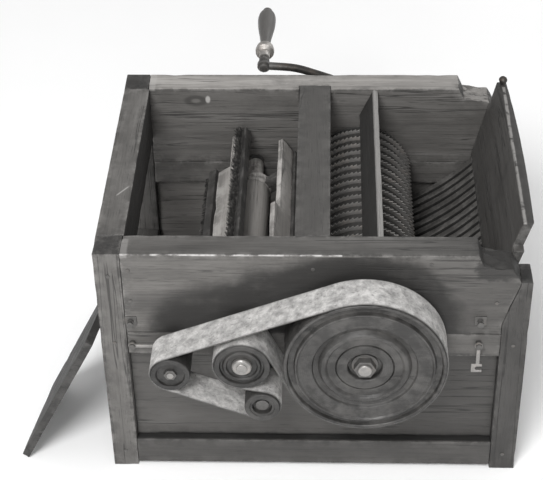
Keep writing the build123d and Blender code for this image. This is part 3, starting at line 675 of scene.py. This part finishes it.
dress("grate_ribs", timber("wood_ribs", 0.075, "Z", contrast=0.2, wear=0.5, extra=rib_marks), 0.0009)
dress("drum_barrel", timber("wood_barrel", 0.030, "Y", contrast=0.35), 0.0015)
dress("brush_hub", timber("wood_hub", 0.280, "Y", contrast=0.3, gloss=0.42), 0.0006)
dress("brush_arms", timber("wood_arms", 0.060, "X"), 0.0008)
dress("grip_handle", timber("wood_grip", 0.072, "Y", contrast=0.35, gloss=0.3), 0.0004)
worn_piece("brush_slats", timber("wood_slats", 0.340, "Y", contrast=0.42, blotch=0.5), 0.0009, 0.02)
worn_piece("brush_stocks", timber("wood_stocks", 0.045, "Y", contrast=0.42, blotch=0.5), 0.0009, 0.02)

# ------------------------------------------------------------------ belt
BELT_THICKNESS = 0.0018
BELT_GAP = 0.0003
BELT_COLUMNS = 26
WARP_PITCH, WEFT_PITCH = 0.0015, 0.0019
belt_low, belt_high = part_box("belt")


def flat_centre(node):
    centre = centre_of(node)
    return Vector((centre.x, centre.z))


belt_wraps = [
    (flat_centre(node), radius_of(node) + BELT_GAP + BELT_THICKNESS / 2, turn)
    for node, turn in (("big_wheel", 1), ("left_pulley", 1), ("idler_pulley", 1), ("brush_pulley", -1))
]


def tangent_angles(first, second):
    """The angles, at two pulleys, where the belt leaves the first for the second."""
    (a, r1, turn1), (b, r2, turn2) = first, second
    line = b - a
    heading = math.atan2(line.y, line.x) + math.asin((turn1 * r1 - turn2 * r2) / line.length)
    return heading - math.pi / 2 * turn1, heading - math.pi / 2 * turn2


def belt_line(step=0.006):
    """Points of the belt's middle line with outward normals, round the whole loop."""
    count = len(belt_wraps)
    leave = [tangent_angles(belt_wraps[i], belt_wraps[(i + 1) % count])[0] for i in range(count)]
    arrive = [tangent_angles(belt_wraps[i - 1], belt_wraps[i])[1] for i in range(count)]
    line = []
    for i, (centre, radius, turn) in enumerate(belt_wraps):
        if turn > 0:
            size = (leave[i] - arrive[i]) % (2 * math.pi)
        else:
            size = -((arrive[i] - leave[i]) % (2 * math.pi))
        pieces = max(4, round(abs(size) * radius / step * 1.5))
        for k in range(pieces + 1):
            angle = arrive[i] + size * k / pieces
            spoke = Vector((math.cos(angle), math.sin(angle)))
            line.append((centre + radius * spoke, spoke * turn))
        start, normal = line[-1]
        after, r_after, _ = belt_wraps[(i + 1) % count]
        angle = arrive[(i + 1) % count]
        stop = after + r_after * Vector((math.cos(angle), math.sin(angle)))
        pieces = max(2, round((stop - start).length / step))
        line += [(start.lerp(stop, k / pieces), normal) for k in range(1, pieces)]
    return line


def woven_belt(material):
    """The belt as webbing: rounded selvedges, a slightly uneven edge and a soft cockle."""
    bm = bmesh.new()
    run = bm.verts.layers.float.new("run")
    across = bm.verts.layers.float.new("across")
    wear = bm.verts.layers.float.new("wear")
    half = BELT_THICKNESS / 2
    width = belt_high.y - belt_low.y
    outer = [(k / BELT_COLUMNS, 1.0) for k in range(BELT_COLUMNS + 1)]
    section = outer + [(share, -1.0) for share, _ in reversed(outer)]
    travelled, last, rings = 0.0, None, []
    for point, normal in belt_line():
        travelled += (point - last).length if last else 0.0
        last = point
        ring = []
        for share, side in section:
            edge = min(share, 1 - share) * width
            round_off = half * min(1.0, 0.35 + edge / 0.0016)
            fray = 0.0007 * (0.5 + 0.5 * noise.noise(Vector((travelled * 55, share * 3, 0.3))))
            inset = fray * math.exp(-edge / 0.002) * (1 if share < 0.5 else -1)
            cockle = 0.00028 * max(0.0, noise.noise(Vector((travelled * 26, share * 3.1, 4.0))))
            spot = point + normal * (side * round_off + (cockle if side > 0 else 0.0))
            vertex = bm.verts.new((spot.x, belt_low.y + share * width + inset, spot.y))
            vertex[run] = travelled
            vertex[across] = share * width
            vertex[wear] = math.exp(-edge / 0.0013)
            ring.append(vertex)
        rings.append(ring)
    for a, b in zip(rings, rings[1:] + rings[:1]):
        for i in range(len(section)):
            j = (i + 1) % len(section)
            bm.faces.new((a[i], a[j], b[j], b[i]))
    bmesh.ops.recalc_face_normals(bm, faces=bm.faces)
    return stand_in(new_object("woven_belt", bm, material, node_body["belt"], 40.0), "belt")


def webbing():
    """Plain-woven cotton webbing, grey with handling, with darker edges and rubbed-in specks."""
    paint = Paint("cotton_webbing")
    s = paint.attribute("run")["Fac"]
    t = paint.attribute("across")["Fac"]
    edge = paint.attribute("wear")["Fac"]
    warp = paint.math("SINE", paint.math("MULTIPLY", t, 2 * math.pi / WARP_PITCH))
    weft = paint.math("SINE", paint.math("MULTIPLY", s, 2 * math.pi / WEFT_PITCH))
    weave = paint.math("MULTIPLY", warp, weft)
    patches = paint.noise(paint.stretch((70, 70, 70)), 1.0, 6.0, 0.75)
    specks = paint.noise(paint.stretch((210, 210, 210)), 1.0, 4.0, 0.7)
    stops = [(0.34, grey(0.26, 0.02)), (0.50, grey(0.48, 0.02)), (0.62, grey(0.68, 0.02))]
    colour = paint.ramp(patches, stops)
    colour = paint.mix(paint.span(specks, 0.56, 0.68, 0.0, 0.6), colour, grey(0.15, 0.03))
    colour = paint.mix(paint.span(weave, -1.0, 1.0, 0.30, 0.0), colour, grey(0.12, 0.03))
    colour = paint.mix(paint.math("MULTIPLY", edge, 0.9), colour, grey(0.05, 0.03))
    height = paint.math("ADD", paint.math("MULTIPLY", weave, 0.5), specks)
    return paint.finish(colour, 0.9, height, 0.0003)


woven_belt(webbing())

# ------------------------------------------------------------------ bristles
REEL_ANGLES = (32.0, 122.0, 212.0, 302.0)
ROOT_RADIUS = 0.066
TIP_RADIUS = 0.0775
ROW_WIDTH = 0.009
TUFT_LENGTH = 0.008
TUFT_PITCH = 0.0115
TUFT_COUNT = 28
FIBRES_PER_TUFT = 40
FIBRE_ROOT, FIBRE_TIP = 0.00042, 0.00026    # a fibre's radius at its two ends
THIRD = 2.0944    # a third of a turn, in radians


def bristle_rows(material, offset):
    """Four rows of fibre tufts set in a thin root strip along each stock."""
    bm = bmesh.new()
    layer = bm.verts.layers.float.new("wear")
    hub = centre_of("brush_hub")
    half_run = (TUFT_COUNT - 1) / 2 * TUFT_PITCH + TUFT_LENGTH / 2 + 0.002
    for degrees in REEL_ANGLES:
        angle = math.radians(degrees)
        out = Vector((math.cos(angle), 0, math.sin(angle)))
        side = Vector((-math.sin(angle), 0, math.cos(angle)))
        foot = hub + side * offset
        corners = []
        for y in (-half_run, half_run):
            for a, b in ((0, -1), (0, 1), (0.0015, 1), (0.0015, -1)):
                spot = foot + out * (ROOT_RADIUS + a) + side * (b * ROW_WIDTH / 2) + Vector((0, y, 0))
                corners.append(bm.verts.new(spot))
        for face in ((0, 1, 2, 3), (7, 6, 5, 4), (0, 4, 5, 1), (1, 5, 6, 2), (2, 6, 7, 3), (3, 7, 4, 0)):
            bm.faces.new([corners[i] for i in face])
        for tuft in range(TUFT_COUNT):
            middle = (tuft - (TUFT_COUNT - 1) / 2) * TUFT_PITCH
            for _ in range(FIBRES_PER_TUFT):
                u, v = draw.uniform(-0.42, 0.42), draw.uniform(-0.42, 0.42)
                root = foot + out * (ROOT_RADIUS + 0.001) + side * (u * ROW_WIDTH)
                root += Vector((0, middle + v * TUFT_LENGTH, 0))
                reach = TIP_RADIUS - ROOT_RADIUS - 0.001 - draw.uniform(0.0, 0.0016)
                tip = root + out * reach + side * (u * 0.003 + draw.gauss(0, 0.0004))
                tip += Vector((0, v * 0.003 + draw.gauss(0, 0.0004), 0))
                spokes = [side * math.cos(k * THIRD) + Vector((0, math.sin(k * THIRD), 0)) for k in range(3)]
                base = [root + spoke * FIBRE_ROOT for spoke in spokes]
                top = [tip + spoke * FIBRE_TIP for spoke in spokes]
                low_ring = [bm.verts.new(c) for c in base]
                high_ring = [bm.verts.new(c) for c in top]
                for vertex in high_ring:
                    vertex[layer] = 1.0
                for k in range(3):
                    n = (k + 1) % 3
                    bm.faces.new((low_ring[k], low_ring[n], high_ring[n], high_ring[k]))
                bm.faces.new(high_ring)
                bm.faces.new(low_ring[::-1])
    bmesh.ops.recalc_face_normals(bm, faces=bm.faces)
    rows = new_object("bristle_rows", bm, material, node_body["brush_bristles"], 40.0)
    return stand_in(rows, "brush_bristles")


def bristle_finish():
    """Dark fibre with paler, dusty tips."""
    paint = Paint("bristle_fibre")
    tone = paint.noise(paint.stretch((260, 90, 260)), 1.0, 3.0, 0.6)
    colour = paint.ramp(tone, [(0.35, grey(0.012, 0.05)), (0.62, grey(0.055, 0.05))])
    tip = paint.span(paint.attribute("wear")["Fac"], 0.6, 1.0)
    tip = paint.math("MULTIPLY", tip, paint.span(tone, 0.45, 0.6))
    colour = paint.mix(paint.math("MULTIPLY", tip, 0.5), colour, grey(0.22, 0.04))
    return paint.finish(colour, 0.75, tone, 0.0002)


STOCK_OFFSET = -0.018
bristle_rows(bristle_finish(), STOCK_OFFSET)

# ------------------------------------------------------------------ floor
floor_paint = Paint("studio_floor")
floor_tone = floor_paint.noise(floor_paint.stretch((3, 3, 3)), 1.0, 3.0)
floor_colour = floor_paint.ramp(floor_tone, [(0.3, grey(0.95)), (0.7, grey(0.97))])
floor_material = floor_paint.finish(floor_colour, 0.9)
floor_mesh = bmesh.new()
bmesh.ops.create_grid(floor_mesh, x_segments=1, y_segments=1, size=12)
mesh = bpy.data.meshes.new("floor")
floor_mesh.to_mesh(mesh)
floor_mesh.free()
floor = bpy.data.objects.new("floor", mesh)
scene.collection.objects.link(floor)
mesh.materials.append(floor_material)
floor.location.z = -0.0004
